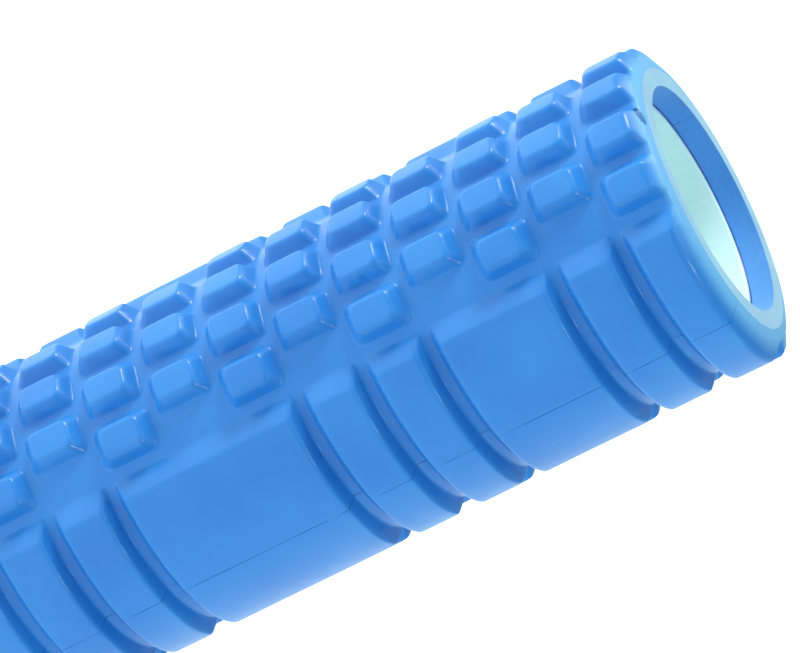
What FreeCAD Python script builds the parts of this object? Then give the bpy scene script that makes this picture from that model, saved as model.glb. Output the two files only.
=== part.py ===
import FreeCAD, Part
import math
import os

import Sketcher

# Moulded foam massage roller, standing on one end.
# Frame: origin at the centre of the lower end, +Z up along the roller's own axis.
# The two glued seams of the foam lie at +Y and -Y. The zones of small blocks face -X and +X.

os.makedirs("parts", exist_ok=True)
doc = FreeCAD.newDocument("foam_roller")

# ---------------------------------------------------------------- driving dimensions (mm, degrees)
DIMENSIONS = {
    "roller_length": 447.0,      # end face to end face
    "pitch": 30.0,               # one cell of the moulded pattern along the axis
    "end_trim": 1.5,             # how much of the first and last cell the cut ends take off
    "tip_radius": 71.5,          # over the tops of bands and blocks
    "floor_radius": 65.0,        # floor of the grooves
    "foam_bore_radius": 51.4,    # inside of the foam sleeve, which shows at both mouths
    "core_outer_radius": 51.0,
    "core_wall": 3.0,
    "core_recess": 10.5,         # how far the core stops short of each end face
    "core_chamfer": 0.5,
    "seam_width": 0.5,           # glue line between the two foam halves
    "seam_glue_radius": 64.5,    # the glue stops just under the groove floor
    "groove_floor_width": 4.8,
    "groove_mouth_width": 11.0,
    "band_top_angle": 39.75,     # from the seam to the end of a band's flat top
    "band_foot_angle": 46.75,    # from the seam to the foot of a band's sloped end
    "row_angle": 20.57,          # between two rows of blocks
    "block_foot_length": 25.4,   # along the axis
    "block_top_length": 17.8,
    "block_foot_width": 19.0,    # around the roller
    "block_top_width": 11.0,
    "block_bury": 1.2,           # how far a block starts below the groove floor
}
CELLS = 15                                      # cells of the pattern along the roller
GROOVES = (0, 1, 2, 4, 5, 6, 9, 10, 11, 13, 14, 15)   # cell edges where a groove crosses the bands
OVERSHOOT = 1.0                                 # how far the groove cut runs past the tips

sheet = doc.addObject("Spreadsheet::Sheet", "dims")
for row, (alias, value) in enumerate(DIMENSIONS.items(), start=1):
    sheet.set(f"A{row}", alias)
    sheet.set(f"B{row}", str(value))
    sheet.setAlias(f"B{row}", alias)
doc.recompute()


def dim(alias):
    """The value of a driving dimension, for first guesses that an expression then takes over."""
    return DIMENSIONS[alias]


def origin_item(body, role):
    """The plane or axis of a body's own origin with this role."""
    for item in body.Origin.OriginFeatures:
        if item.Role == role:
            return item
    raise RuntimeError(f"{body.Name} has no {role}")


def new_body(name):
    body = doc.addObject("PartDesign::Body", name)
    body.Label = name
    return body


def new_sketch(body, name, role="XY_Plane"):
    sketch = body.newObject("Sketcher::SketchObject", name)
    sketch.AttachmentSupport = (origin_item(body, role), [""])
    sketch.MapMode = "FlatFace"
    return sketch


def bind(sketch, index, name, expression):
    """Name a sketch constraint and drive it from the sheet."""
    sketch.renameConstraint(index, name)
    sketch.setExpression(f"Constraints.{name}", expression)


def add_arc(sketch, name, radius, start, end, expression):
    """An arc about the sketch's origin, angles in degrees, its radius driven from the sheet."""
    circle = Part.Circle(FreeCAD.Vector(0, 0, 0), FreeCAD.Vector(0, 0, 1), radius)
    arc = Part.ArcOfCircle(circle, math.radians(start), math.radians(end))
    index = sketch.addGeometry(arc, False)
    sketch.addConstraint(Sketcher.Constraint("Coincident", index, 3, -1, 1))
    number = sketch.addConstraint(Sketcher.Constraint("Radius", index, radius))
    bind(sketch, number, name, expression)
    return index


def add_line(sketch, first, second):
    start = FreeCAD.Vector(first[0], first[1], 0)
    end = FreeCAD.Vector(second[0], second[1], 0)
    return sketch.addGeometry(Part.LineSegment(start, end), False)


def join(sketch, pairs):
    """Make each pair of end points coincide. Each end is (geometry, point)."""
    for (first, first_point), (second, second_point) in pairs:
        sketch.addConstraint(Sketcher.Constraint("Coincident", first, first_point, second, second_point))


def hold(sketch, kind, geometry, point, name, value, expression):
    """Drive the signed distance of a point from the sketch's origin."""
    number = sketch.addConstraint(Sketcher.Constraint(kind, -1, 1, geometry, point, value))
    bind(sketch, number, name, expression)


def pad(body, sketch, name, expression):
    feature = body.newObject("PartDesign::Pad", name)
    feature.Profile = sketch
    feature.Length = 10.0
    feature.setExpression("Length", expression)
    return feature


def half_ring_sketch(body, name):
    """The half ring of foam under the pattern, cut flat at the two seams."""
    sketch = new_sketch(body, name)
    half = dim("seam_width") / 2
    outer, inner = dim("floor_radius"), dim("foam_bore_radius")
    tilt_out = math.degrees(math.asin(half / outer))
    tilt_in = math.degrees(math.asin(half / inner))
    big = add_arc(sketch, "outer", outer, 90 + tilt_out, 270 - tilt_out, "dims.floor_radius")
    small = add_arc(sketch, "inner", inner, 90 + tilt_in, 270 - tilt_in, "dims.foam_bore_radius")
    top = add_line(sketch, (-half, outer), (-half, inner))
    low = add_line(sketch, (-half, -inner), (-half, -outer))
    join(sketch, (((big, 1), (top, 1)), ((top, 2), (small, 1)),
                  ((small, 2), (low, 1)), ((low, 2), (big, 2))))
    for number, (line, point) in enumerate(((top, 1), (top, 2), (low, 1), (low, 2))):
        hold(sketch, "DistanceX", line, point, f"seam{number}", -half, "-dims.seam_width / 2")
    return sketch


def band_zone_sketch(body, name, side):
    """The plateau that the bands are cut from, from the seam at side (+1 or -1) to its sloped end."""
    sketch = new_sketch(body, name)
    half = dim("seam_width") / 2
    tip, foot = dim("tip_radius"), dim("floor_radius") - 0.5
    seam_tip = math.degrees(math.asin(half / tip))
    seam_foot = math.degrees(math.asin(half / foot))
    tip_angles = (90 + seam_tip, 90 + dim("band_top_angle"))
    foot_angles = (90 + seam_foot, 90 + dim("band_foot_angle"))
    if side < 0:
        tip_angles = tuple(360 - angle for angle in reversed(tip_angles))
        foot_angles = tuple(360 - angle for angle in reversed(foot_angles))
    at_seam, at_end = (1, 2) if side > 0 else (2, 1)
    upper = add_arc(sketch, "tip", tip, *tip_angles, "dims.tip_radius")
    lower = add_arc(sketch, "foot", foot, *foot_angles, "dims.floor_radius - 0.5")
    top_x = -tip * math.sin(math.radians(dim("band_top_angle")))
    foot_x = -foot * math.sin(math.radians(dim("band_foot_angle")))
    top_y = side * tip * math.cos(math.radians(dim("band_top_angle")))
    foot_y = side * foot * math.cos(math.radians(dim("band_foot_angle")))
    seam = add_line(sketch, (-half, side * foot), (-half, side * tip))
    slope = add_line(sketch, (top_x, top_y), (foot_x, foot_y))
    join(sketch, (((seam, 2), (upper, at_seam)), ((upper, at_end), (slope, 1)),
                  ((slope, 2), (lower, at_end)), ((lower, at_seam), (seam, 1))))
    hold(sketch, "DistanceX", seam, 1, "seam0", -half, "-dims.seam_width / 2")
    hold(sketch, "DistanceX", seam, 2, "seam1", -half, "-dims.seam_width / 2")
    hold(sketch, "DistanceX", slope, 1, "top_x", top_x,
         "-dims.tip_radius * sin(dims.band_top_angle * 1 deg)")
    hold(sketch, "DistanceX", slope, 2, "foot_x", foot_x,
         "-(dims.floor_radius - 0.5) * sin(dims.band_foot_angle * 1 deg)")
    return sketch


def groove_sketch(body, name):
    """One trapezoid for each groove, in the plane of the axis, to be turned around it."""
    sketch = new_sketch(body, name, "XZ_Plane")
    flare = (dim("groove_mouth_width") - dim("groove_floor_width")) / 2
    flare /= dim("tip_radius") - dim("floor_radius")
    outside = dim("tip_radius") + OVERSHOOT
    floor_half = dim("groove_floor_width") / 2
    mouth_half = dim("groove_mouth_width") / 2 + flare * OVERSHOOT
    flare_text = ("(dims.groove_mouth_width - dims.groove_floor_width)"
                  " / (2 * (dims.tip_radius - dims.floor_radius))")
    floor_text = "dims.groove_floor_width / 2"
    mouth_text = f"dims.groove_mouth_width / 2 + {OVERSHOOT} * {flare_text}"
    for cell in GROOVES:
        middle = cell * dim("pitch") - dim("end_trim")
        middle_text = f"{cell} * dims.pitch - dims.end_trim"
        corners = (
            (dim("floor_radius"), middle - floor_half, "dims.floor_radius",
             f"{middle_text} - {floor_text}"),
            (outside, middle - mouth_half, f"dims.tip_radius + {OVERSHOOT}",
             f"{middle_text} - ({mouth_text})"),
            (outside, middle + mouth_half, f"dims.tip_radius + {OVERSHOOT}",
             f"{middle_text} + {mouth_text}"),
            (dim("floor_radius"), middle + floor_half, "dims.floor_radius",
             f"{middle_text} + {floor_text}"),
        )
        lines = []
        for number in range(4):
            start, end = corners[number], corners[(number + 1) % 4]
            lines.append(add_line(sketch, start[:2], end[:2]))
        join(sketch, [((lines[n], 2), (lines[(n + 1) % 4], 1)) for n in range(4)])
        for number, (x, y, x_text, y_text) in enumerate(corners):
            line = lines[number]
            hold(sketch, "DistanceX", line, 1, f"x{cell}_{number}", x, x_text)
            hold(sketch, "DistanceY", line, 1, f"y{cell}_{number}", y, y_text)
    return sketch


def add_blocks(body, name, first_cell, along, rows):
    """A set of tapered blocks: along the roller every second cell, and in rows around it."""
    wedge = body.newObject("PartDesign::AdditiveWedge", name)
    wedge.AttachmentSupport = (origin_item(body, "XY_Plane"), [""])
    wedge.MapMode = "FlatFace"
    turn = 90 - (rows - 1) / 2 * dim("row_angle")
    wedge.AttachmentOffset = FreeCAD.Placement(
        FreeCAD.Vector(0, 0, dim("pitch") * (first_cell + 0.5) - dim("end_trim")),
        FreeCAD.Rotation(FreeCAD.Vector(0, 0, 1), turn))
    wedge.setExpression("AttachmentOffset.Base.z", f"dims.pitch * {first_cell + 0.5} - dims.end_trim")
    wedge.setExpression("AttachmentOffset.Rotation.Angle", f"90 - {(rows - 1) / 2} * dims.row_angle")
    rise = "(dims.tip_radius - dims.floor_radius)"
    spread = {}
    for axis, size in (("X", "width"), ("Z", "length")):
        foot, top = f"dims.block_foot_{size}", f"dims.block_top_{size}"
        spread[axis] = f"({foot} + ({foot} - {top}) * dims.block_bury / {rise}) / 2"
        spread[axis + "2"] = f"{top} / 2"
    settings = {
        "Ymin": "dims.floor_radius - dims.block_bury",
        "Ymax": "dims.tip_radius",
        "Xmin": f"-{spread['X']}",
        "Xmax": spread["X"],
        "Zmin": f"-{spread['Z']}",
        "Zmax": spread["Z"],
        "X2min": f"-{spread['X2']}",
        "X2max": spread["X2"],
        "Z2min": f"-{spread['Z2']}",
        "Z2max": spread["Z2"],
    }
    for setting, expression in settings.items():
        wedge.setExpression(setting, expression)
    doc.recompute()

    axis = (origin_item(body, "Z_Axis"), [""])
    pattern = body.newObject("PartDesign::MultiTransform", f"{name}_pattern")
    lengthwise = body.newObject("PartDesign::LinearPattern", f"{name}_along")
    around = body.newObject("PartDesign::PolarPattern", f"{name}_around")
    lengthwise.Direction = axis
    lengthwise.Occurrences = along
    lengthwise.setExpression("Length", f"2 * {along - 1} * dims.pitch")
    around.Axis = axis
    around.Occurrences = rows
    around.setExpression("Angle", f"{rows - 1} * dims.row_angle")
    pattern.Originals = [wedge]
    pattern.Transformations = [lengthwise, around]
    body.Tip = pattern
    doc.recompute()
    return pattern


def foam_shell(name, turn):
    """One moulded half of the foam sleeve. turn is its angle about +Z, in degrees."""
    body = new_body(name)
    pad(body, half_ring_sketch(body, f"{name}_ring"), f"{name}_wall", "dims.roller_length")
    for side, word in ((1, "a"), (-1, "b")):
        zone = band_zone_sketch(body, f"{name}_zone_{word}", side)
        pad(body, zone, f"{name}_plateau_{word}", "dims.roller_length")
    doc.recompute()
    before = body.Shape.Volume
    cut = body.newObject("PartDesign::Groove", f"{name}_grooves")
    cut.Profile = groove_sketch(body, f"{name}_groove_lines")
    cut.ReferenceAxis = (origin_item(body, "Z_Axis"), [""])
    cut.Angle = 360
    doc.recompute()
    if body.Shape.Volume >= before:
        raise RuntimeError(f"{name}: the grooves took nothing away")
    add_blocks(body, f"{name}_four_rows", 0, (CELLS + 1) // 2, 4)
    add_blocks(body, f"{name}_three_rows", 1, CELLS // 2, 3)
    body.Placement = FreeCAD.Placement(FreeCAD.Vector(0, 0, 0),
                                       FreeCAD.Rotation(FreeCAD.Vector(0, 0, 1), turn))
    return body


def core_tube():
    """The rigid hollow core, short of the foam at both ends."""
    body = new_body("core_tube")
    sketch = new_sketch(body, "core_section", "XZ_Plane")
    outer, wall = dim("core_outer_radius"), dim("core_wall")
    recess, length, edge = dim("core_recess"), dim("roller_length"), dim("core_chamfer")
    outer_text = "dims.core_outer_radius"
    inner_text = "dims.core_outer_radius - dims.core_wall"
    low_text, high_text = "dims.core_recess", "dims.roller_length - dims.core_recess"
    corners = (
        (outer - wall + edge, recess, f"{inner_text} + dims.core_chamfer", low_text),
        (outer - edge, recess, f"{outer_text} - dims.core_chamfer", low_text),
        (outer, recess + edge, outer_text, f"{low_text} + dims.core_chamfer"),
        (outer, length - recess - edge, outer_text, f"{high_text} - dims.core_chamfer"),
        (outer - edge, length - recess, f"{outer_text} - dims.core_chamfer", high_text),
        (outer - wall + edge, length - recess, f"{inner_text} + dims.core_chamfer", high_text),
        (outer - wall, length - recess - edge, inner_text, f"{high_text} - dims.core_chamfer"),
        (outer - wall, recess + edge, inner_text, f"{low_text} + dims.core_chamfer"),
    )
    count = len(corners)
    lines = [add_line(sketch, corners[n][:2], corners[(n + 1) % count][:2]) for n in range(count)]
    join(sketch, [((lines[n], 2), (lines[(n + 1) % count], 1)) for n in range(count)])
    for number, (x, y, x_text, y_text) in enumerate(corners):
        hold(sketch, "DistanceX", lines[number], 1, f"x{number}", x, x_text)
        hold(sketch, "DistanceY", lines[number], 1, f"y{number}", y, y_text)
    turned = body.newObject("PartDesign::Revolution", "core_turned")
    turned.Profile = sketch
    turned.ReferenceAxis = (origin_item(body, "Z_Axis"), [""])
    turned.Angle = 360
    return body


def core_glue():
    """The thin film of glue between the core and the foam."""
    body = new_body("core_glue")
    sketch = new_sketch(body, "core_glue_section")
    rings = (("outer", "foam_bore_radius"), ("inner", "core_outer_radius"))
    for name, alias in rings:
        circle = Part.Circle(FreeCAD.Vector(0, 0, 0), FreeCAD.Vector(0, 0, 1), dim(alias))
        index = sketch.addGeometry(circle, False)
        sketch.addConstraint(Sketcher.Constraint("Coincident", index, 3, -1, 1))
        number = sketch.addConstraint(Sketcher.Constraint("Radius", index, dim(alias)))
        bind(sketch, number, name, f"dims.{alias}")
    pad(body, sketch, "core_glue_film", "dims.roller_length - 2 * dims.core_recess")
    body.Placement = FreeCAD.Placement(FreeCAD.Vector(0, 0, dim("core_recess")), FreeCAD.Rotation())
    body.setExpression("Placement.Base.z", "dims.core_recess")
    return body


def seam_glue(name, turn):
    """The glue line that joins the two foam halves. turn is 0 for the +Y seam, 180 for the -Y seam."""
    body = new_body(name)
    sketch = new_sketch(body, f"{name}_section")
    half = dim("seam_width") / 2
    outer, inner = dim("seam_glue_radius"), dim("foam_bore_radius")
    tilt_out = math.degrees(math.asin(half / outer))
    tilt_in = math.degrees(math.asin(half / inner))
    big = add_arc(sketch, "outer", outer, 90 - tilt_out, 90 + tilt_out, "dims.seam_glue_radius")
    small = add_arc(sketch, "inner", inner, 90 - tilt_in, 90 + tilt_in, "dims.foam_bore_radius")
    left = add_line(sketch, (-half, outer), (-half, inner))
    right = add_line(sketch, (half, inner), (half, outer))
    join(sketch, (((big, 2), (left, 1)), ((left, 2), (small, 2)),
                  ((small, 1), (right, 1)), ((right, 2), (big, 1))))
    for number, (line, point) in enumerate(((left, 1), (left, 2))):
        hold(sketch, "DistanceX", line, point, f"left{number}", -half, "-dims.seam_width / 2")
    for number, (line, point) in enumerate(((right, 1), (right, 2))):
        hold(sketch, "DistanceX", line, point, f"right{number}", half, "dims.seam_width / 2")
    pad(body, sketch, f"{name}_strip", "dims.roller_length")
    body.Placement = FreeCAD.Placement(FreeCAD.Vector(0, 0, 0),
                                       FreeCAD.Rotation(FreeCAD.Vector(0, 0, 1), turn))
    return body


nodes = [
    core_tube(),
    core_glue(),
    foam_shell("foam_shell_left", 0),
    foam_shell("foam_shell_right", 180),
    seam_glue("seam_glue_back", 0),
    seam_glue("seam_glue_front", 180),
]
doc.recompute()

for item in doc.Objects:
    if "Invalid" in item.State or "Error" in item.State:
        raise RuntimeError(f"{item.Name}: {item.State}")
for node in nodes:
    if node.Shape.isNull() or not node.Shape.isValid():
        raise RuntimeError(f"{node.Label} has no valid shape")
    node.Shape.exportStep(f"parts/{node.Label}.step")
    box = node.Shape.BoundBox
    print(f"{node.Label}: {len(node.Shape.Solids)} solid, {node.Shape.Volume / 1000:.2f} cm3, "
          f"x {box.XMin:.2f} {box.XMax:.2f}, y {box.YMin:.2f} {box.YMax:.2f}, "
          f"z {box.ZMin:.2f} {box.ZMax:.2f}")
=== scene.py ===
"""A moulded foam massage roller with a hollow core, standing on one end.

The foam sleeve is two equal halves glued along two seams. Each half is modelled flat, as it lies in
its mould, and rolled up. Lengths in the dataclasses are millimetres unless a name says otherwise.
"""
import logging
import math
from collections.abc import Callable
from dataclasses import dataclass
from enum import Enum

import bpy
import numpy as np
from mathutils import Matrix, Vector


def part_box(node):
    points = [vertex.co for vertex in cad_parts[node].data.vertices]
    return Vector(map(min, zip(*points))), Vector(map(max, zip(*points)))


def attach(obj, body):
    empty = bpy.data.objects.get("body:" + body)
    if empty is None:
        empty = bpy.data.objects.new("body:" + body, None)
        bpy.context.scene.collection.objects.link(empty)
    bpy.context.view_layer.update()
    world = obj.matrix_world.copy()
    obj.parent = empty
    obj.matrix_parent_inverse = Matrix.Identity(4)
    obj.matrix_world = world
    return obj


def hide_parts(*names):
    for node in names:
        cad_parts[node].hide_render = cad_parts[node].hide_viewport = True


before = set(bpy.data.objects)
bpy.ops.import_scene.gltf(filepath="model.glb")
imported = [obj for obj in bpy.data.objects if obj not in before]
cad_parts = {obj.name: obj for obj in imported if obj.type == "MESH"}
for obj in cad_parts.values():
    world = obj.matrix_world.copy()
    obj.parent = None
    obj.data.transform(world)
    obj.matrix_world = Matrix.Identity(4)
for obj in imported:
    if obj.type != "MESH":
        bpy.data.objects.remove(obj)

LOG = logging.getLogger("foam_roller")
MM = 0.001              # metres in a millimetre
MERGE = 1e-6            # metres: points nearer a paring cut than this count as on it
TOUCH = 0.01            # millimetres: flat faces nearer a level than this count as on it
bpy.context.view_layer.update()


# ---------------------------------------------------------------- small helpers
def linear(hex_colour: str) -> tuple[float, float, float, float]:
    """Turn an sRGB hex colour into linear values.

    Args:
        hex_colour: six hex digits with a leading hash.

    Returns:
        Red, green, blue and a full alpha.
    """
    parts = [int(hex_colour[n:n + 2], 16) / 255 for n in (1, 3, 5)]
    flat = [c / 12.92 if c <= 0.04045 else ((c + 0.055) / 1.055) ** 2.4 for c in parts]
    return (flat[0], flat[1], flat[2], 1.0)


def add_node(tree: bpy.types.NodeTree, kind: str, settings: dict | None = None,
             sockets: dict | None = None) -> bpy.types.Node:
    """Add one shader node.

    Args:
        tree: the node tree that it joins.
        kind: the node's type name.
        settings: properties of the node, by name.
        sockets: input values or source sockets, by the input's name or index.

    Returns:
        The new node.
    """
    node = tree.nodes.new(kind)
    for name, value in (settings or {}).items():
        setattr(node, name, value)
    for name, value in (sockets or {}).items():
        if isinstance(value, bpy.types.NodeSocket):
            tree.links.new(value, node.inputs[name])
        else:
            node.inputs[name].default_value = value
    return node


def add_ramp(tree: bpy.types.NodeTree, source: bpy.types.NodeSocket,
             stops: list[tuple[float, tuple[float, float, float, float]]]) -> bpy.types.NodeSocket:
    """Send a value through a colour ramp.

    Args:
        tree: the node tree.
        source: the value that picks the place on the ramp.
        stops: place and linear colour of each stop, in order.

    Returns:
        The ramp's colour socket.
    """
    ramp = add_node(tree, "ShaderNodeValToRGB", sockets={"Fac": source})
    elements = ramp.color_ramp.elements
    while len(elements) < len(stops):
        elements.new(0.5)
    for element, (place, colour) in zip(elements, stops):
        element.position = place
        element.color = colour
    return ramp.outputs["Color"]


def new_material(name: str) -> tuple[bpy.types.Material, bpy.types.NodeTree, bpy.types.Node]:
    """Make an empty material with a Principled shader wired to its output."""
    material = bpy.data.materials.new(name)
    material.use_nodes = True
    tree = material.node_tree
    tree.nodes.clear()
    shader = add_node(tree, "ShaderNodeBsdfPrincipled")
    add_node(tree, "ShaderNodeOutputMaterial", sockets={"Surface": shader.outputs["BSDF"]})
    return material, tree, shader


def deselect_all() -> None:
    """Leave nothing selected, because an operator acts on all that is."""
    bpy.ops.object.select_all(action="DESELECT")


def take_active(name: str) -> bpy.types.Object:
    """Name the active object and its mesh, and return it."""
    piece = bpy.context.object
    piece.name = name
    piece.data.name = name
    return piece


def settle(piece: bpy.types.Object) -> None:
    """Apply the object's own place, turn and scale to its mesh."""
    deselect_all()
    piece.select_set(True)
    bpy.context.view_layer.objects.active = piece
    bpy.ops.object.transform_apply(location=True, rotation=True, scale=True)


class Part(Enum):
    """What is picked in a mesh: the name of its list, and the edit mode's select setting."""

    POINTS = ("vertices", (True, False, False))
    EDGES = ("edges", (False, True, False))
    FACES = ("polygons", (False, False, True))


def spots(piece: bpy.types.Object, part: Part) -> np.ndarray:
    """Places of the points, edge middles or face centres of a piece, in millimetres."""
    bpy.ops.object.mode_set(mode="OBJECT")
    mesh = piece.data
    if part is Part.FACES:
        flat = np.zeros(len(mesh.polygons) * 3)
        mesh.polygons.foreach_get("center", flat)
        return flat.reshape(-1, 3) / MM
    flat = np.zeros(len(mesh.vertices) * 3)
    mesh.vertices.foreach_get("co", flat)
    points = flat.reshape(-1, 3) / MM
    return points if part is Part.POINTS else points[edge_ends(mesh)].mean(axis=1)


def edge_ends(mesh: bpy.types.Mesh) -> np.ndarray:
    """The two point numbers of every edge."""
    ends = np.zeros(len(mesh.edges) * 2, dtype=np.int32)
    mesh.edges.foreach_get("vertices", ends)
    return ends.reshape(-1, 2)


def spans(piece: bpy.types.Object) -> np.ndarray:
    """How far every edge runs along x, y and z, in millimetres and without a sign."""
    ends = spots(piece, Part.POINTS)[edge_ends(piece.data)]
    return np.abs(ends[:, 1] - ends[:, 0])


def facing(piece: bpy.types.Object) -> np.ndarray:
    """The direction that every face points in."""
    bpy.ops.object.mode_set(mode="OBJECT")
    flat = np.zeros(len(piece.data.polygons) * 3)
    piece.data.polygons.foreach_get("normal", flat)
    return flat.reshape(-1, 3)


def pick(piece: bpy.types.Object, part: Part, wanted: np.ndarray) -> None:
    """Open a piece in edit mode with only some of its points, edges or faces selected.

    Args:
        piece: the piece, which becomes the active one.
        part: what is picked.
        wanted: true for each one that is selected.
    """
    deselect_all()
    piece.select_set(True)
    bpy.context.view_layer.objects.active = piece
    mesh = piece.data
    for items in (mesh.vertices, mesh.edges, mesh.polygons):
        items.foreach_set("select", np.zeros(len(items), dtype=bool))
    name, setting = part.value
    getattr(mesh, name).foreach_set("select", wanted)
    bpy.context.tool_settings.mesh_select_mode = setting
    bpy.ops.object.mode_set(mode="EDIT")


def cut_lines(piece: bpy.types.Object, axis: int, places: list[float]) -> None:
    """Cut lines right round a piece, square to one axis.

    Args:
        piece: the piece that is cut.
        axis: 0 for x, 1 for y, 2 for z.
        places: where each cut crosses that axis, in millimetres.
    """
    pick(piece, Part.FACES, np.ones(len(piece.data.polygons), dtype=bool))
    for place in places:
        co, no = Vector((0, 0, 0)), Vector((0, 0, 0))
        co[axis], no[axis] = place * MM, 1
        bpy.ops.mesh.select_all(action="SELECT")
        bpy.ops.mesh.bisect(plane_co=co, plane_no=no)
    bpy.ops.object.mode_set(mode="OBJECT")


def trim(piece: bpy.types.Object, axis: int, place: float, keep_below: bool) -> None:
    """Saw a closed piece off square to an axis, and close it again."""
    pick(piece, Part.FACES, np.ones(len(piece.data.polygons), dtype=bool))
    co, no = Vector((0, 0, 0)), Vector((0, 0, 0))
    co[axis], no[axis] = place * MM, 1
    bpy.ops.mesh.bisect(plane_co=co, plane_no=no, use_fill=True,
                        clear_outer=keep_below, clear_inner=not keep_below)
    bpy.ops.object.mode_set(mode="OBJECT")


def pare_rims(piece: bpy.types.Object, length: float, foot: float, outward: int,
              cuts: list[tuple[float, float, float]]) -> None:
    """Pare the outer corner of both ends down to a soft rounding.

    Args:
        piece: the piece, with its outside towards +Y or -Y.
        length: where the upper end stands; the lower end stands at 0.
        foot: where the groove floor lies along y, in millimetres.
        outward: 1 or -1, the way along y that is outward.
        cuts: for each cut its angle from the floor, its height over the floor and its distance
            from the end.
    """
    for angle, height, back in cuts:
        for end, way in ((0.0, -1), (length, 1)):
            tilt = math.radians(angle)
            pick(piece, Part.FACES, np.ones(len(piece.data.polygons), dtype=bool))
            bpy.ops.mesh.bisect(
                plane_co=(0, (foot + outward * height) * MM, (end - way * back) * MM),
                plane_no=(0, outward * math.cos(tilt), way * math.sin(tilt)),
                use_fill=True, clear_outer=True, threshold=MERGE)
            bpy.ops.object.mode_set(mode="OBJECT")


def apply_modifier(piece: bpy.types.Object, kind: str, **settings: object) -> None:
    """Add a modifier with its settings, and apply it."""
    bpy.ops.object.mode_set(mode="OBJECT")
    deselect_all()
    piece.select_set(True)
    bpy.context.view_layer.objects.active = piece
    modifier = piece.modifiers.new(kind.lower(), kind)
    for name, value in settings.items():
        setattr(modifier, name, value)
    bpy.ops.object.modifier_apply(modifier=modifier.name)


def uneven(piece: bpy.types.Object, size_mm: float, swing_mm: float, direction: str = "NORMAL",
           group: str = "", middle: float = 0.5) -> None:
    """Push a surface in and out by a soft cloud pattern.

    Args:
        piece: the piece.
        size_mm: size of the unevenness along the surface.
        swing_mm: its height from lowest to highest.
        direction: NORMAL, or the axis that points move along.
        group: a vertex group that limits it, or none.
        middle: the pattern's value that moves nothing.
    """
    clouds = bpy.data.textures.new(f"{piece.name}_clouds", "CLOUDS")
    clouds.noise_scale = size_mm * MM
    apply_modifier(piece, "DISPLACE", texture=clouds, strength=swing_mm * MM, direction=direction,
                   vertex_group=group, mid_level=middle, texture_coords="LOCAL")


# ---------------------------------------------------------------- finishes
@dataclass(frozen=True)
class Mark:
    """A small blemish: its place, width and depth in millimetres, and how much painted shade darkens the foam
    around it.
    """

    place: tuple[float, float, float]
    width: float
    depth: float
    dark: float


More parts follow.
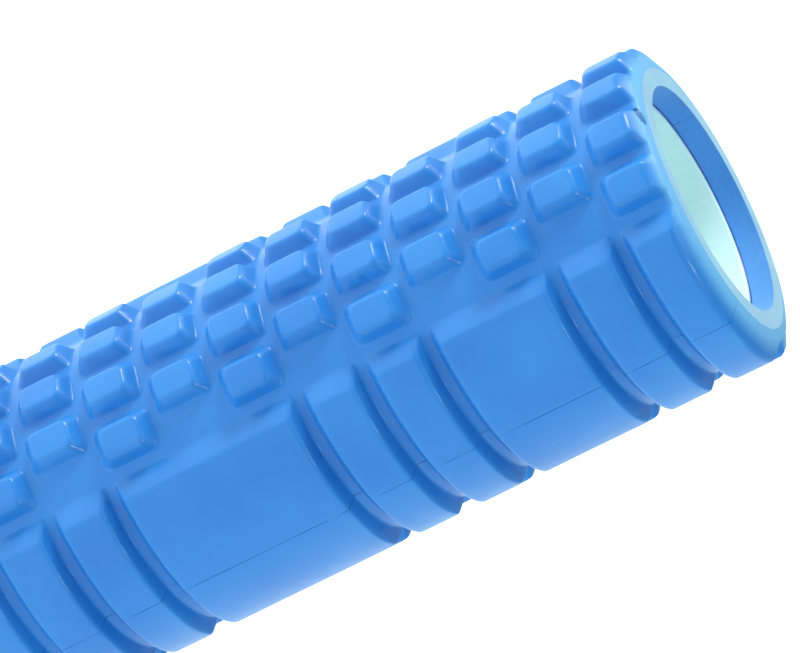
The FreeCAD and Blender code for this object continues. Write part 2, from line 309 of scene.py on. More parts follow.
@dataclass(frozen=True)
class MouldedEva:
    """EVA foam with its moulded skin: one deep blue, closed and softly glossy.

    The skin is smooth, so pale reflections lie on the rounded edges and on the tops that face a
    light. Towards both ends painted light makes it paler, and painted shade darkens a few marks.
    """

    name: str = "moulded_eva_blue"
    deep: str = "#1d6fbf"
    pale: str = "#2579c7"
    fleck: str = "#bfe4ff"
    # painted shade: the colour that darkens the foam around each mark's pit
    pit_shade_colour: str = "#025e9c"
    # painted light: the paler colour that the skin fades to at both ends
    rim: str = "#5c9dd0"
    length: float = 447.0       # painted light makes the rims at both ends of it paler
    rim_mm: float = 4.6         # how far from the end the painted rim light begins
    rim_full_mm: float = 0.5    # how far from the end the painted rim light is palest
    cloud_mm: float = 55.0      # slow change of tone from the mould
    grain_mm: float = 1.1       # skin grain, drawn coarser than the real 0.3 mm so that it shows
    ripple_mm: float = 9.0      # soft unevenness of a foam surface
    fleck_mm: float = 17.0      # spacing of stray pale flecks
    fleck_core: float = 0.022   # a fleck's full part, as a share of that spacing
    fleck_edge: float = 0.036   # where it has faded out
    fleck_rarity: float = 0.6   # share of the places that stay without one
    ragged_mm: float = 1.6      # raggedness of a mark's outline
    roughness: float = 0.47
    roughness_swing: float = 0.06
    marks: tuple[Mark, ...] = ()

    def add_flecks(self, tree: bpy.types.NodeTree, place: bpy.types.NodeSocket,
                   colour: bpy.types.NodeSocket) -> bpy.types.NodeSocket:
        """Lay stray pale flecks over a colour, and return the result."""
        cells = add_node(tree, "ShaderNodeTexVoronoi", settings={"feature": "F1"}, sockets={
            "Vector": place, "Scale": 1 / (self.fleck_mm * MM), "Randomness": 1.0})
        near = add_node(tree, "ShaderNodeMapRange", sockets={
            "Value": cells.outputs["Distance"], "From Min": self.fleck_core, "From Max": self.fleck_edge,
            "To Min": 1.0, "To Max": 0.0})
        lucky = add_node(tree, "ShaderNodeSeparateColor", sockets={"Color": cells.outputs["Color"]})
        few = add_node(tree, "ShaderNodeMath", settings={"operation": "GREATER_THAN"}, sockets={
            0: lucky.outputs["Red"], 1: self.fleck_rarity})
        flecks = add_node(tree, "ShaderNodeMath", settings={"operation": "MULTIPLY"}, sockets={
            0: near.outputs["Result"], 1: few.outputs["Value"]})
        return add_node(tree, "ShaderNodeMix", settings={"data_type": "RGBA"}, sockets={
            "Factor": flecks.outputs["Value"], 6: colour, 7: linear(self.fleck)}).outputs[2]

    def paint_rim_light(self, tree: bpy.types.NodeTree, place: bpy.types.NodeSocket,
                 colour: bpy.types.NodeSocket) -> bpy.types.NodeSocket:
        """Paint light on both ends: fade a colour paler towards them, and return the result."""
        half = self.length / 2
        split = add_node(tree, "ShaderNodeSeparateXYZ", sockets={"Vector": place})
        from_middle = add_node(tree, "ShaderNodeMath", settings={"operation": "SUBTRACT"}, sockets={
            0: split.outputs["Z"], 1: half * MM})
        along = add_node(tree, "ShaderNodeMath", settings={"operation": "ABSOLUTE"}, sockets={
            0: from_middle.outputs["Value"]})
        # painted rim light: rises smoothly from rim_mm to rim_full_mm from each end
        rim_light_amount = add_node(tree, "ShaderNodeMapRange", settings={"interpolation_type": "SMOOTHSTEP"}, sockets={
            "Value": along.outputs["Value"], "From Min": (half - self.rim_mm) * MM,
            "From Max": (half - self.rim_full_mm) * MM})
        return add_node(tree, "ShaderNodeMix", settings={"data_type": "RGBA"}, sockets={
            "Factor": rim_light_amount.outputs["Result"], 6: colour, 7: linear(self.rim)}).outputs[2]

    def paint_pit_shade(self, tree: bpy.types.NodeTree, place: bpy.types.NodeSocket,
                     colour: bpy.types.NodeSocket) -> bpy.types.NodeSocket:
        """Paint shade: darken a colour in a ragged patch around each mark's pit, and return the result."""
        ragged = add_node(tree, "ShaderNodeTexNoise", sockets={
            "Vector": place, "Scale": 1 / (self.ragged_mm * MM), "Detail": 2.0})
        for mark in self.marks:
            wide = mark.width * MM
            away = add_node(tree, "ShaderNodeVectorMath", settings={"operation": "DISTANCE"}, sockets={
                0: place, 1: tuple(value * MM for value in mark.place)})
            edge = add_node(tree, "ShaderNodeMath", settings={"operation": "MULTIPLY_ADD"}, sockets={
                0: ragged.outputs["Fac"], 1: wide * 0.9, 2: away.outputs["Value"]})
            amount = add_node(tree, "ShaderNodeMapRange", sockets={
                "Value": edge.outputs["Value"], "From Min": wide, "From Max": wide * 1.3,
                "To Min": mark.dark, "To Max": 0.0})
            # painted shade of the pit, strongest at the middle of the mark
            colour = add_node(tree, "ShaderNodeMix", settings={"data_type": "RGBA"}, sockets={
                "Factor": amount.outputs["Result"], 6: colour, 7: linear(self.pit_shade_colour)}).outputs[2]
        return colour

    def material(self) -> bpy.types.Material:
        """Build the material."""
        material, tree, shader = new_material(self.name)
        place = add_node(tree, "ShaderNodeTexCoord").outputs["Object"]
        cloud = add_node(tree, "ShaderNodeTexNoise", sockets={
            "Vector": place, "Scale": 1 / (self.cloud_mm * MM), "Detail": 3.0, "Roughness": 0.5})
        colour = add_ramp(tree, cloud.outputs["Fac"], [(0.35, linear(self.deep)), (0.65, linear(self.pale))])
        for lay in (self.add_flecks, self.paint_rim_light, self.paint_pit_shade):
            colour = lay(tree, place, colour)
        tree.links.new(colour, shader.inputs["Base Color"])
        grain = add_node(tree, "ShaderNodeTexNoise", sockets={
            "Vector": place, "Scale": 1 / (self.grain_mm * MM), "Detail": 4.0, "Roughness": 0.6})
        ripple = add_node(tree, "ShaderNodeTexNoise", sockets={
            "Vector": place, "Scale": 1 / (self.ripple_mm * MM), "Detail": 2.0, "Roughness": 0.5})
        soft = add_node(tree, "ShaderNodeBump", sockets={
            "Strength": 0.22, "Distance": 0.0006, "Height": ripple.outputs["Fac"]})
        fine = add_node(tree, "ShaderNodeBump", sockets={
            "Strength": 0.42, "Distance": 0.00018, "Height": grain.outputs["Fac"],
            "Normal": soft.outputs["Normal"]})
        tree.links.new(fine.outputs["Normal"], shader.inputs["Normal"])
        rough = add_node(tree, "ShaderNodeMapRange", sockets={
            "Value": ripple.outputs["Fac"], "To Min": self.roughness - self.roughness_swing,
            "To Max": self.roughness + self.roughness_swing})
        tree.links.new(rough.outputs["Result"], shader.inputs["Roughness"])
        shader.inputs["IOR"].default_value = 1.48
        shader.inputs["Specular IOR Level"].default_value = 0.3
        shader.inputs["Coat Weight"].default_value = 0.26
        shader.inputs["Coat Roughness"].default_value = 0.16
        shader.inputs["Sheen Weight"].default_value = 0.05
        shader.inputs["Sheen Roughness"].default_value = 0.4
        shader.inputs["Sheen Tint"].default_value = linear("#8fe0ff")
        return material


@dataclass(frozen=True)
class CutEva:
    """Cut foam: open cells instead of skin. The flat ends are pale, dry and pitted by default; their paleness
    is partly the sawn cells' own look and partly painted light.
    """

    name: str = "sawn_eva_blue"
    # the ends' pale blues: partly the sawn cells' own colour, partly painted light on the ends
    deep: str = "#4a88b2"
    pale: str = "#5c99bb"
    cell_mm: float = 1.4        # foam cells, drawn coarser than the real 0.5 mm so that they show
    drift_mm: float = 30.0
    pit: float = 0.4            # how strongly the cells show as pits
    bloom: float = 0.6          # soft dusty sheen

    def material(self) -> bpy.types.Material:
        """Build the material."""
        material, tree, shader = new_material(self.name)
        place = add_node(tree, "ShaderNodeTexCoord").outputs["Object"]
        drift = add_node(tree, "ShaderNodeTexNoise", sockets={
            "Vector": place, "Scale": 1 / (self.drift_mm * MM), "Detail": 3.0})
        tone = add_ramp(tree, drift.outputs["Fac"], [(0.35, linear(self.deep)), (0.65, linear(self.pale))])
        cells = add_node(tree, "ShaderNodeTexVoronoi", settings={"feature": "F1"}, sockets={
            "Vector": place, "Scale": 1 / (self.cell_mm * MM)})
        # painted shade: each cell is darker at its middle, where the bump sinks it into a pit
        pits = add_node(tree, "ShaderNodeMapRange", sockets={
            "Value": cells.outputs["Distance"], "From Min": 0.1, "From Max": 0.7,
            "To Min": 0.93, "To Max": 1.03})
        colour = add_node(tree, "ShaderNodeMix", settings={"data_type": "RGBA", "blend_type": "MULTIPLY"},
                          sockets={"Factor": 1.0, 6: tone, 7: pits.outputs["Result"]})
        tree.links.new(colour.outputs[2], shader.inputs["Base Color"])
        bump = add_node(tree, "ShaderNodeBump", sockets={
            "Strength": self.pit, "Distance": 0.0003, "Height": cells.outputs["Distance"]})
        tree.links.new(bump.outputs["Normal"], shader.inputs["Normal"])
        shader.inputs["Roughness"].default_value = 0.8
        shader.inputs["IOR"].default_value = 1.48
        shader.inputs["Sheen Weight"].default_value = self.bloom
        shader.inputs["Sheen Roughness"].default_value = 0.5
        shader.inputs["Sheen Tint"].default_value = linear("#e6f6ff")
        return material


@dataclass(frozen=True)
class ExtrudedPlastic:
    """White ABS pipe: satin, its white drawn towards the foam's blue-green, with faint draw lines."""

    name: str = "white_abs_pipe"
    base: str = "#d3f2f3"
    shade: str = "#ceeef0"
    line_mm: float = 2.2

    def material(self) -> bpy.types.Material:
        """Build the material."""
        material, tree, shader = new_material(self.name)
        place = add_node(tree, "ShaderNodeTexCoord").outputs["Object"]
        along = add_node(tree, "ShaderNodeMapping", sockets={"Vector": place, "Scale": (1.0, 1.0, 0.02)})
        lines = add_node(tree, "ShaderNodeTexNoise", sockets={
            "Vector": along.outputs["Vector"], "Scale": 1 / (self.line_mm * MM), "Detail": 2.0})
        tone = add_ramp(tree, lines.outputs["Fac"], [(0.3, linear(self.shade)), (0.7, linear(self.base))])
        tree.links.new(tone, shader.inputs["Base Color"])
        bump = add_node(tree, "ShaderNodeBump", sockets={
            "Strength": 0.03, "Distance": 0.00004, "Height": lines.outputs["Fac"]})
        tree.links.new(bump.outputs["Normal"], shader.inputs["Normal"])
        shader.inputs["Roughness"].default_value = 0.38
        shader.inputs["IOR"].default_value = 1.54
        return material


@dataclass(frozen=True)
class ContactCement:
    """Dried contact cement: darker than the foam, lumpy and slightly glossy."""

    name: str = "contact_cement"
    base: str = "#1f4f9c"
    shade: str = "#173b78"
    lump_mm: float = 2.5

    def material(self) -> bpy.types.Material:
        """Build the material."""
        material, tree, shader = new_material(self.name)
        place = add_node(tree, "ShaderNodeTexCoord").outputs["Object"]
        lumps = add_node(tree, "ShaderNodeTexNoise", sockets={
            "Vector": place, "Scale": 1 / (self.lump_mm * MM), "Detail": 3.0})
        tone = add_ramp(tree, lumps.outputs["Fac"], [(0.35, linear(self.shade)), (0.65, linear(self.base))])
        tree.links.new(tone, shader.inputs["Base Color"])
        bump = add_node(tree, "ShaderNodeBump", sockets={
            "Strength": 0.5, "Distance": 0.0003, "Height": lumps.outputs["Fac"]})
        tree.links.new(bump.outputs["Normal"], shader.inputs["Normal"])
        shader.inputs["Roughness"].default_value = 0.45
        shader.inputs["IOR"].default_value = 1.5
        return material


@dataclass(frozen=True)
class MattFloor:
    """A matt white acrylic table with a very slightly blue glow, faintly mottled."""

    name: str = "matt_white_floor"
    base: str = "#f6f7f8"
    shade: str = "#f1f3f5"
    glow: float = 0.55
    glow_colour: str = "#dcf6ff"

    def material(self) -> bpy.types.Material:
        """Build the material."""
        material, tree, shader = new_material(self.name)
        place = add_node(tree, "ShaderNodeTexCoord").outputs["Object"]
        mottle = add_node(tree, "ShaderNodeTexNoise", sockets={"Vector": place, "Scale": 2.0})
        tone = add_ramp(tree, mottle.outputs["Fac"], [(0.4, linear(self.shade)), (0.6, linear(self.base))])
        tree.links.new(tone, shader.inputs["Base Color"])
        shader.inputs["Roughness"].default_value = 0.9
        shader.inputs["Emission Color"].default_value = linear(self.glow_colour)
        shader.inputs["Emission Strength"].default_value = self.glow
        return material


# ---------------------------------------------------------------- sub-assemblies
@dataclass(frozen=True)
class Pad:
    """How one kind of raised pad rises from the groove floor."""

    slope: float            # length of its sloped side
    corner: float           # rounding of its upright corners
    crown: float            # how far its middle stands above its edge
    crown_inset: float      # how far in from the edge that begins


@dataclass
class FoamSleeve:
    """The foam: two equal halves, each modelled flat with its outside towards -Y, and rolled up.

    Flat, x runs around the roller, measured on the groove floor, from the middle of the half.
    """

    length: float
    floor_radius: float             # radius of the groove floors
    bore_radius: float
    rise: float                     # height of the pads over the groove floors
    seam_gap: float
    pitch: float = 30.0             # length of one cell of the pattern
    cells: int = 15
    trim_off: float = 1.5           # taken off each end of the first and last cell
    groove: float = 4.8             # width of the grooves between cells
    band_cells: tuple[tuple[int, int], ...] = (
        (0, 1), (1, 2), (2, 4), (4, 5), (5, 6), (6, 9), (9, 10), (10, 11), (11, 13), (13, 14), (14, 15))
    band_foot: float = 43.25        # degrees from the middle of the half
    row_angle: float = 20.57        # degrees from one row of blocks to the next
    block_half_angle: float = 8.37
    band: Pad = Pad(slope=2.9, corner=1.6, crown=0.1, crown_inset=2.0)
    band_end_slope: float = 8.0
    block: Pad = Pad(slope=3.4, corner=3.2, crown=0.15, crown_inset=1.4)
    edge: float = 0.95              # rounding at the foot and shoulder of every pad
    rim_step: float = 3.0           # degrees between the lines that carry the rims round
    rim_zone: float = 8.0           # how far from each end those lines reach
    margin: float = 10.0            # waste around the flat half, sawn off before it is rolled
    band_lines: tuple[float, ...] = (54.0, 60.0, 66.0, 72.0, 78.0, 84.0)    # carry the bands round
    lip_mm: float = 0.4             # how near the seam plane a lip's points lie
    lip_swing: float = 0.5          # how far the lips of a seam wander
    skin_swing: float = 0.28        # how uneven the whole surface is
    end_keep: float = 0.5           # how much at each end stays even

    def rim_cuts(self) -> list[tuple[float, float, float]]:
        """Angle, height over the floor and distance from the end of each cut that rounds a rim."""
        return [(32.0, self.rise, 5.9), (64.0, 0.0, 1.6), (77.0, -1.4, 0.917)]

    def strip_ends(self, slab: bpy.types.Object) -> None:
        """Cut both ends and their rims into strips, so that they stay round when rolled."""
        reach, half = self.mm_of(90), self.length / 2
        pick(slab, Part.FACES, np.abs(spots(slab, Part.FACES)[:, 2] - half) > half - self.rim_zone)
        bpy.ops.mesh.hide(unselected=True)
        for place in np.arange(-reach, reach, self.mm_of(self.rim_step))[1:]:
            bpy.ops.mesh.select_all(action="SELECT")
            bpy.ops.mesh.bisect(plane_co=(place * MM, 0, 0), plane_no=(1, 0, 0))
        bpy.ops.mesh.reveal()
        bpy.ops.object.mode_set(mode="OBJECT")

    def mm_of(self, degrees: float) -> float:
        """Turn an angle around the roller into a length on the groove floor."""
        return math.radians(degrees) * self.floor_radius

    def band_reach(self) -> float:
        """How far the bands run into the waste beyond the seam."""
        return self.mm_of(90) + 0.8 * self.margin

    def rows(self, cell: int) -> list[float]:
        """Angles of the block rows in a cell: four and three by turns."""
        count = 4 if cell % 2 == 0 else 3
        return [(row - (count - 1) / 2) * self.row_angle for row in range(count)]

    def cell_ends(self, first: int, last: int) -> tuple[float, float]:
        """Where the pads that fill cells first to last begin and end along the roller."""
        low = first * self.pitch - self.trim_off + self.groove / 2
        return low, last * self.pitch - self.trim_off - self.groove / 2

    def on_block(self, centres: np.ndarray) -> np.ndarray:
        """Which of these places lie on a block."""
        found = np.zeros(len(centres), dtype=bool)
        half = self.mm_of(self.block_half_angle)
        for cell in range(self.cells):
            low, high = self.cell_ends(cell, cell + 1)
            for angle in self.rows(cell):
                beside = np.abs(centres[:, 0] - self.mm_of(angle)) < half
                found |= beside & (centres[:, 2] > low) & (centres[:, 2] < high)
        return found

    def on_band(self, centres: np.ndarray) -> np.ndarray:
        """Which of these places lie on a band beside a seam."""
        found = np.zeros(len(centres), dtype=bool)
        across = np.abs(centres[:, 0])
        beside = (across > self.mm_of(self.band_foot)) & (across < self.band_reach())
        for first, last in self.band_cells:
            low, high = self.cell_ends(first, last)
            found |= beside & (centres[:, 2] > low) & (centres[:, 2] < high)
        return found

    def build_slab(self) -> bpy.types.Object:
        """A flat slab of the wall's thickness, with lines where every pad's foot will be."""
        wall = self.floor_radius - self.bore_radius
        wide = self.mm_of(180) + 2 * self.margin
        deselect_all()
        bpy.ops.mesh.primitive_cube_add(
            size=1, location=(0, wall / 2 * MM, self.length / 2 * MM),
            scale=(wide * MM, wall * MM, (self.length + 2 * self.margin) * MM))
        slab = take_active("foam_half_left")
        settle(slab)
        angles = {self.band_foot, *self.band_lines}
        for cell in (0, 1):
            for angle in self.rows(cell):
                angles |= {abs(angle - self.block_half_angle), abs(angle + self.block_half_angle)}
        places = sorted(self.mm_of(angle) for angle in angles)
        places.append(self.band_reach())
        cut_lines(slab, 0, [-place for place in places] + places)
        walls = []
        for line in range(self.cells + 1):
            middle = line * self.pitch - self.trim_off
            walls += [middle - self.groove / 2, middle + self.groove / 2]
        cut_lines(slab, 2, walls)
        return slab

    def raise_pads(self, slab: bpy.types.Object, pad: Pad,
                   on_pad: Callable[[np.ndarray], np.ndarray]) -> None:
        """Inset the feet of one kind of pad and lift what is inside them.

        Args:
            slab: the flat half.
            pad: the pad's sizes.
            on_pad: says which places lie on such a pad.
        """
        centres = spots(slab, Part.FACES)
        pick(slab, Part.FACES, (np.abs(centres[:, 1]) < TOUCH) & on_pad(centres))
        bpy.ops.mesh.inset(thickness=pad.slope * MM, use_even_offset=True)
        bpy.ops.transform.translate(value=(0, -self.rise * MM, 0))
        bpy.ops.object.mode_set(mode="OBJECT")

    def stretch_band_ends(self, slab: bpy.types.Object) -> None:
        """Draw the shoulder of each band's end back, for its long gentle slope."""
        shoulder = self.mm_of(self.band_foot) + self.band.slope
        for side in (-1, 1):
            points = spots(slab, Part.POINTS)
            near = np.abs(points[:, 0] * side - shoulder) < 0.3
            pick(slab, Part.POINTS, near & (points[:, 1] < -self.rise + TOUCH))
            bpy.ops.transform.translate(value=(side * (self.band_end_slope - self.band.slope) * MM, 0, 0))
            bpy.ops.object.mode_set(mode="OBJECT")

    def round_corners(self, slab: bpy.types.Object, pad: Pad, bands: bool) -> None:
        """Round the upright corners of the blocks or of the bands."""
        run, middles = spans(slab), spots(slab, Part.EDGES)
        corner = (run[:, 1] > self.rise - 0.1) & (run[:, 0] > 1) & (run[:, 2] > 1)
        beyond = np.abs(middles[:, 0]) > self.mm_of(self.band_foot)
        inside = np.abs(middles[:, 0]) < self.mm_of(90)
        pick(slab, Part.EDGES, corner & inside & (beyond if bands else ~beyond))
        bpy.ops.mesh.bevel(offset=pad.corner * MM, segments=4, affect="EDGES", clamp_overlap=False)
        bpy.ops.object.mode_set(mode="OBJECT")

    def crown_tops(self, slab: bpy.types.Object, pad: Pad, bands: bool) -> None:
        """Lift the middle of each top a little."""
        centres = spots(slab, Part.FACES)
        beyond = np.abs(centres[:, 0]) > self.mm_of(self.band_foot)
        pick(slab, Part.FACES, (centres[:, 1] < -self.rise + TOUCH) & (beyond if bands else ~beyond))
        bpy.ops.mesh.inset(thickness=pad.crown_inset * MM, use_even_offset=True)
        bpy.ops.transform.translate(value=(0, -pad.crown * MM, 0))
        bpy.ops.object.mode_set(mode="OBJECT")

    def soften_edges(self, slab: bpy.types.Object) -> None:
        """Bevel every foot and shoulder, and subdivide the whole for a moulded softness."""
        pick(slab, Part.EDGES, np.zeros(len(slab.data.edges), dtype=bool))
        bpy.ops.mesh.edges_select_sharp(sharpness=math.radians(32))
        bpy.ops.mesh.bevel(offset=self.edge * MM, segments=2, affect="EDGES", clamp_overlap=False)
        apply_modifier(slab, "SUBSURF", levels=1, render_levels=1)

    def saw_and_roll(self, slab: bpy.types.Object) -> None:
        """Saw off the waste, round the rims, bend the flat half round, and turn its middle to -X.

        Each paring cut leaves one wide face, so the ends are cut into strips again after it.
        """
        reach = self.mm_of(90) - self.seam_gap / 2
        trim(slab, 0, reach, keep_below=True)
        trim(slab, 0, -reach, keep_below=False)
        trim(slab, 2, self.length, keep_below=True)
        trim(slab, 2, 0.0, keep_below=False)
        self.strip_ends(slab)
        for cut in self.rim_cuts():
            pare_rims(slab, self.length, 0.0, -1, [cut])
            self.strip_ends(slab)
        pick(slab, Part.FACES, np.ones(len(slab.data.polygons), dtype=bool))
        bpy.ops.mesh.normals_make_consistent(inside=False)
        apply_modifier(slab, "SIMPLE_DEFORM", deform_method="BEND", deform_axis="Z",
                       angle=2 * reach / self.floor_radius)
        slab.location.y = -self.floor_radius * MM
        settle(slab)
        slab.rotation_euler.z = math.radians(-90)
        settle(slab)

    def nick(self, piece: bpy.types.Object, marks: tuple[Mark, ...]) -> None:
        """Push small pits into the foam where the marks lie.

        Args:
            piece: the half that the marks are on.
            marks: the blemishes, which set each pit's place, width and depth.
        """
        centres = spots(piece, Part.FACES)
        near = [np.linalg.norm(centres - np.array(mark.place), axis=1) < mark.width + 1.2 for mark in marks]
        pick(piece, Part.FACES, np.any(near, axis=0))
        bpy.ops.mesh.subdivide(number_cuts=3)
        for mark in marks:
            away = np.linalg.norm(spots(piece, Part.POINTS) - np.array(mark.place), axis=1)
            pick(piece, Part.POINTS, away < mark.width * 0.5)
            inward = -Vector((mark.place[0], mark.place[1], 0)).normalized() * mark.depth * MM
            bpy.ops.transform.translate(value=inward)
            bpy.ops.object.mode_set(mode="OBJECT")

    def finish_half(self, piece: bpy.types.Object, node: str, finishes: list[bpy.types.Material]) -> None:
        """Give a rolled half its own unevenness, its materials and its place in the frame.

        Args:
            piece: the half.
            node: the CAD node that it stands for.
            finishes: the materials of the moulded faces, of the two ends and of the bore.
        """
        side = -1 if node.endswith("left") else 1
        points = spots(piece, Part.POINTS)
        outside = np.hypot(points[:, 0], points[:, 1]) > self.floor_radius - 0.5
        lips = (np.abs(points[:, 0]) < self.lip_mm) & outside
        group = piece.vertex_groups.new(name="seam_lips")
        group.add([int(number) for number in np.nonzero(lips)[0]], 1.0, "REPLACE")
        uneven(piece, size_mm=9, swing_mm=side * self.lip_swing, direction="X", group=group.name,
               middle=0.46)
        piece.vertex_groups.clear()
        group = piece.vertex_groups.new(name="away_from_ends")
        away = (points[:, 2] > self.end_keep) & (points[:, 2] < self.length - self.end_keep) & ~lips
        group.add([int(number) for number in np.nonzero(away)[0]], 1.0, "REPLACE")
        uneven(piece, size_mm=26, swing_mm=self.skin_swing, group=group.name)
        piece.vertex_groups.clear()
        for finish in finishes:
            piece.data.materials.append(finish)
        centres = spots(piece, Part.FACES)
        ends = np.abs(facing(piece)[:, 2]) > 0.98
        ends &= (centres[:, 2] < 0.2) | (centres[:, 2] > self.length - 0.2)
        bore = (np.hypot(centres[:, 0], centres[:, 1]) < self.bore_radius + 1) & ~ends
        piece.data.polygons.foreach_set("material_index", (ends + 2 * bore).astype(np.int32))
        bpy.ops.object.shade_smooth_by_angle(angle=math.radians(50))
        pick(piece, Part.FACES, ends)
        bpy.ops.mesh.region_to_loop()
        bpy.ops.mesh.mark_sharp()
        bpy.ops.object.mode_set(mode="OBJECT")
        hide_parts(node)
        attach(piece, "root")

    def build(self, finishes: list[bpy.types.Material], marks: tuple[Mark, ...]) -> list[bpy.types.Object]:
        """Model one half, copy it for the other, and finish both.

        Args:
            finishes: the materials of the moulded faces, of the two ends and of the bore.
            marks: blemishes on the left half that are deep enough to feel.

        Returns:
            The left and the right half.
        """
        left = self.build_slab()
        self.raise_pads(left, self.block, self.on_block)
        self.raise_pads(left, self.band, self.on_band)
        self.stretch_band_ends(left)
        self.round_corners(left, self.block, bands=False)
        self.round_corners(left, self.band, bands=True)
        self.crown_tops(left, self.block, bands=False)
        self.crown_tops(left, self.band, bands=True)
        self.soften_edges(left)
        self.saw_and_roll(left)
        right = left.copy()
        right.data = left.data.copy()
        right.name = right.data.name = "foam_half_right"
        bpy.context.scene.collection.objects.link(right)
        right.rotation_euler.z = math.radians(180)
        settle(right)
        self.nick(left, marks)
        self.finish_half(left, "foam_shell_left", finishes)
        self.finish_half(right, "foam_shell_right", finishes)
        return [left, right]


@dataclass
class CoreTube:
    """The rigid pipe inside the foam, with the glue film that holds the foam on it."""

    radius: float
    wall: float
    low: float
    high: float
    bore_radius: float
    segments: int = 144
    edge: float = 0.5               # rounding of the pipe's edges
    bead: float = 0.75              # thickness of the glue squeezed out at each end
    film_slack: float = 0.02        # keeps the film clear of the foam and of the pipe

    def build_pipe(self, plastic: bpy.types.Material) -> bpy.types.Object:
        """Model the pipe: a cylinder with its ends inset, bridged through and bevelled."""
        deselect_all()
        bpy.ops.mesh.primitive_cylinder_add(
            vertices=self.segments, radius=self.radius * MM, depth=(self.high - self.low) * MM,
            location=(0, 0, (self.high + self.low) / 2 * MM))
        pipe = take_active("core_pipe")
        settle(pipe)
        pick(pipe, Part.FACES, np.abs(facing(pipe)[:, 2]) > 0.9)
        bpy.ops.mesh.inset(thickness=self.wall * MM)
        bpy.ops.mesh.bridge_edge_loops()
        apply_modifier(pipe, "BEVEL", width=self.edge * MM, segments=3, limit_method="ANGLE",
                       angle_limit=math.radians(40))
        bpy.ops.object.shade_smooth_by_angle(angle=math.radians(35))
        pipe.data.materials.append(plastic)
        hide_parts("core_tube")
        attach(pipe, "root")
        return pipe

    def build_glue(self, cement: bpy.types.Material) -> bpy.types.Object:
        """Model the glue: a thin sleeve with a squeezed-out bead at each end of the pipe."""
        beads = []
        middle = (self.radius + self.bore_radius) / 2
        for name, z in (("low", self.low), ("high", self.high)):
            deselect_all()
            bpy.ops.mesh.primitive_torus_add(
                major_radius=middle * MM, minor_radius=self.bead / 2 * MM,
                major_segments=180, minor_segments=8, location=(0, 0, z * MM))
            bead = take_active(f"bead_{name}")
            settle(bead)
            uneven(bead, size_mm=6, swing_mm=0.4)
            beads.append(bead)
        deselect_all()
        bpy.ops.mesh.primitive_cylinder_add(
            vertices=self.segments, radius=(self.bore_radius - self.film_slack) * MM,
            depth=(self.high - self.low - 1) * MM, end_fill_type="NOTHING",
            location=(0, 0, (self.high + self.low) / 2 * MM))
        film = take_active("core_glue_film")
        settle(film)
        apply_modifier(film, "SOLIDIFY", offset=-1,
                       thickness=(self.bore_radius - self.radius - 2 * self.film_slack) * MM)
        for bead in beads:
            bead.select_set(True)
        bpy.ops.object.join()
        bpy.ops.object.shade_smooth_by_angle(angle=math.radians(40))
        film.data.materials.append(cement)
        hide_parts("core_glue")
        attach(film, "root")
        return film


@dataclass
class SeamGlue:
    """The glue line between the two foam halves, at +Y (back) or -Y (front)."""

    sleeve: FoamSleeve
    node: str
    sink: float = 0.9           # how far the glue stays below the foam's surface
    fill: float = 0.96          # share of the seam's gap that it fills
    step: float = 3.0           # spacing of the lines that let it be uneven

    def build(self, cement: bpy.types.Material) -> bpy.types.Object:
        """Model the line: a thin blade, raised where it runs through the bands."""
        side = -1 if self.node.endswith("front") else 1
        sleeve = self.sleeve
        foot, top = sleeve.bore_radius + 0.2, sleeve.floor_radius - self.sink
        deselect_all()
        bpy.ops.mesh.primitive_cube_add(
            size=1, location=(0, side * (foot + top) / 2 * MM, sleeve.length / 2 * MM),
            scale=(sleeve.seam_gap * self.fill * MM, (top - foot) * MM, (sleeve.length - 1.2) * MM))
        blade = take_active(f"{self.node}_line")
        settle(blade)
        ends = [sleeve.cell_ends(first, last) for first, last in sleeve.band_cells]
        shoulder = sleeve.band.slope
        cut_lines(blade, 2, [place for low, high in ends for place in (low + shoulder, high - shoulder)])
        centres, out = spots(blade, Part.FACES), facing(blade)[:, 1] * side > 0.9
        on_band = np.zeros(len(centres), dtype=bool)
        for low, high in ends:
            on_band |= (centres[:, 2] > low + shoulder) & (centres[:, 2] < high - shoulder)
        pick(blade, Part.FACES, out & on_band)
        lift = side * sleeve.rise * MM
        bpy.ops.mesh.extrude_region_move(TRANSFORM_OT_translate={"value": (0, lift, 0)})
        bpy.ops.object.mode_set(mode="OBJECT")
        cut_lines(blade, 2, list(np.arange(self.step, sleeve.length - self.step, self.step)))
        uneven(blade, size_mm=5, swing_mm=0.5, direction="Y")
        pare_rims(blade, sleeve.length, foot=side * (sleeve.floor_radius - self.sink), outward=side,
                  cuts=sleeve.rim_cuts())
        blade.data.materials.append(cement)
        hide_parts(self.node)
        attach(blade, "root")
        return blade


# ---------------------------------------------------------------- studio
@dataclass(frozen=True)
class Softbox:
    """A large soft light, aimed at the middle of the roller."""

    name: str
    turn: float             # degrees from +X
    elevation: float        # degrees above the floor
    distance: float         # metres
    size: float             # metres
    power: float            # watts
    colour: str

    def place(self, aim: Vector) -> None:
        """Add the light to the scene."""
        turn, rise = math.radians(self.turn), math.radians(self.elevation)
        away = Vector((math.cos(turn) * math.cos(rise), math.sin(turn) * math.cos(rise), math.sin(rise)))
        data = bpy.data.lights.new(self.name, "AREA")
        data.shape = "SQUARE"
        data.size = self.size
        data.energy = self.power
        data.color = linear(self.colour)[:3]
        light = bpy.data.objects.new(self.name, data)
        light.location = aim + away * self.distance
        light.rotation_mode = "QUATERNION"
        light.rotation_quaternion = (-away).to_track_quat("-Z", "Y")
        bpy.context.scene.collection.objects.link(light)


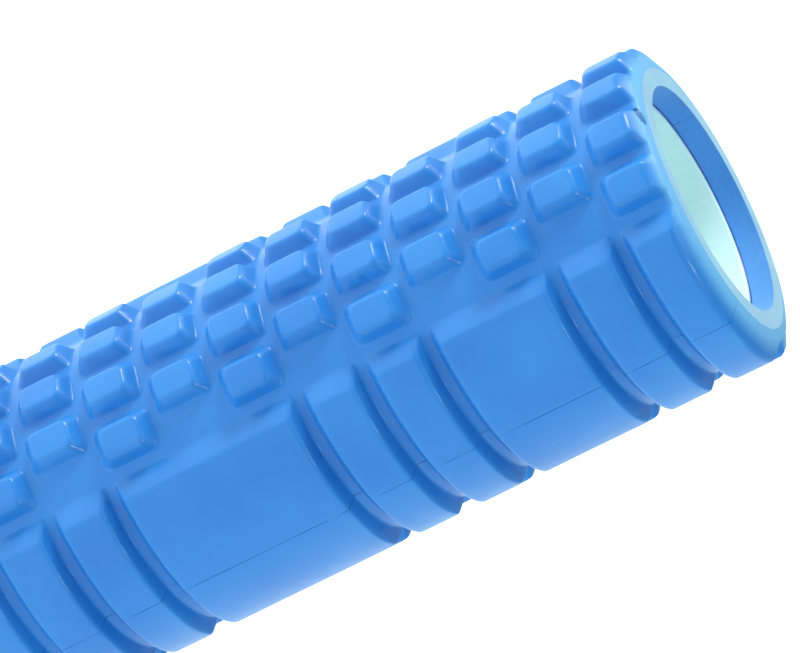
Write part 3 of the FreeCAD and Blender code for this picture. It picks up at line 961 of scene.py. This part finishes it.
@dataclass(frozen=True)
class Studio:
    """Floor, lights and camera."""

    length: float
    sky: str = "#ccedf8"
    sky_strength: float = 0.55
    backdrop: str = "#f7fafc"
    floor_drop: float = 0.3     # keeps the floor's face apart from the foam's lower end
    floor_radius: float = 14.0  # metres
    floor_inset: float = 9.0    # metres, from its edge to the ring around its middle
    camera_place: tuple[float, float, float] = (-1755.9, -1923.3, 1024.9)
    camera_forward: tuple[float, float, float] = (0.64693, 0.71420, -0.26721)
    camera_up: tuple[float, float, float] = (-0.58347, 0.68923, 0.42955)
    camera_lens: float = 291.43

    def build(self) -> None:
        """Build the whole studio."""
        self.build_floor()
        self.build_sky()
        aim = Vector((0, 0, self.length * MM / 2))
        for light in (
            Softbox("key", 140.0, 34.0, 3.0, 1.0, 88.0, "#fff8e6"),
            Softbox("front", -92.0, 40.0, 3.0, 0.5, 20.0, "#fffdf0"),
            Softbox("rim", -34.0, 6.0, 3.0, 1.2, 13.0, "#9cf4f4"),
            Softbox("back", 92.0, 52.0, 3.0, 1.8, 34.0, "#fff8ec"),
            Softbox("overhead", 230.0, 74.0, 3.0, 1.6, 16.0, "#f4fbff"),
        ):
            light.place(aim)
        self.build_camera()
        scene = bpy.context.scene
        scene.view_settings.view_transform = "Standard"
        scene.view_settings.look = "None"

    def build_floor(self) -> None:
        """A wide floor under the roller."""
        deselect_all()
        bpy.ops.mesh.primitive_circle_add(
            vertices=96, radius=self.floor_radius, fill_type="NGON", location=(0, 0, -self.floor_drop * MM))
        floor = take_active("studio_floor")
        settle(floor)
        bpy.ops.object.mode_set(mode="EDIT")
        bpy.ops.mesh.select_all(action="SELECT")
        bpy.ops.mesh.inset(thickness=self.floor_inset)
        bpy.ops.object.mode_set(mode="OBJECT")
        floor.data.materials.append(MattFloor().material())

    def build_sky(self) -> None:
        """Even pale light from all round, in front of a near-white backdrop."""
        world = bpy.data.worlds.new("studio_sky")
        world.use_nodes = True
        tree = world.node_tree
        tree.nodes.clear()
        glow = add_node(tree, "ShaderNodeBackground", sockets={
            "Color": linear(self.sky), "Strength": self.sky_strength})
        seen = add_node(tree, "ShaderNodeBackground", sockets={"Color": linear(self.backdrop)})
        path = add_node(tree, "ShaderNodeLightPath")
        both = add_node(tree, "ShaderNodeMixShader", sockets={
            0: path.outputs["Is Camera Ray"], 1: glow.outputs[0], 2: seen.outputs[0]})
        add_node(tree, "ShaderNodeOutputWorld", sockets={"Surface": both.outputs[0]})
        bpy.context.scene.world = world

    def build_camera(self) -> None:
        """The camera: a long lens, a little above the upper end, rolled over to the left."""
        forward = Vector(self.camera_forward).normalized()
        right = forward.cross(Vector(self.camera_up)).normalized()
        turned = Matrix((right, right.cross(forward), -forward)).transposed()
        data = bpy.data.cameras.new("camera")
        data.sensor_width = 36.0
        data.lens = self.camera_lens
        data.clip_start, data.clip_end = 0.05, 60.0
        camera = bpy.data.objects.new("camera", data)
        camera.matrix_world = Matrix.Translation(Vector(self.camera_place) * MM) @ turned.to_4x4()
        bpy.context.scene.collection.objects.link(camera)
        bpy.context.scene.camera = camera


def gash_marks(length: float) -> tuple[Mark, ...]:
    """Five small marks in a row across the upper rim, which together make one gash."""
    middle = np.array((-64.7, -5.7, length - 1.58))
    half_run = np.array((1.96, -2.72, 0.84))
    steps = (-1.0, -0.5, 0.0, 0.5, 1.0)
    # each mark's dark sets the painted shade around its pit
    return tuple(Mark(place=tuple(float(value) for value in middle + half_run * step),
                      width=2.7, depth=0.4, dark=1.0) for step in steps)


def main() -> None:
    """Build the pieces in order and report each one."""
    logging.basicConfig(level=logging.INFO, format="%(name)s: %(message)s")
    foam_low, foam_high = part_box("foam_shell_left")
    glue_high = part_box("seam_glue_back")[1]
    core_low, core_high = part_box("core_tube")
    film_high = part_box("core_glue")[1]
    length = round((foam_high.z - foam_low.z) / MM, 2)
    tip = round(foam_high.y / MM, 2)
    glue_below_floor = 0.5
    floor_radius = round(glue_high.y / MM + glue_below_floor, 2)
    bore_radius = round(film_high.x / MM, 2)

    cement = ContactCement().material()
    # the dent's dark sets the painted shade around its pit
    dent = Mark(place=(-66.0, -21.2, length - 133.0), width=2.6, depth=0.5, dark=0.6)
    marks = (*gash_marks(length), dent)
    sleeve = FoamSleeve(length=length, floor_radius=floor_radius, bore_radius=bore_radius,
                        rise=tip - floor_radius, seam_gap=0.14)
    # The bore is cut foam too, but smoother and a deeper blue than the ends.
    bored = CutEva(name="bored_eva_blue", deep="#458bdc", pale="#5094e2", pit=0.06, bloom=0.3)
    finishes = [MouldedEva(marks=marks, length=length).material(), CutEva().material(), bored.material()]
    for piece in sleeve.build(finishes, marks):
        LOG.info("%s: %d faces", piece.name, len(piece.data.polygons))

    core = CoreTube(radius=core_high.x / MM, wall=3.0, low=core_low.z / MM, high=core_high.z / MM,
                    bore_radius=bore_radius)
    pipe = core.build_pipe(ExtrudedPlastic().material())
    LOG.info("%s: %d faces", pipe.name, len(pipe.data.polygons))
    film = core.build_glue(cement)
    LOG.info("%s: %d faces", film.name, len(film.data.polygons))
    for node in ("seam_glue_front", "seam_glue_back"):
        blade = SeamGlue(sleeve=sleeve, node=node).build(cement)
        LOG.info("%s: %d faces", blade.name, len(blade.data.polygons))

    Studio(length=length).build()


if __name__ == "__main__":
    main()
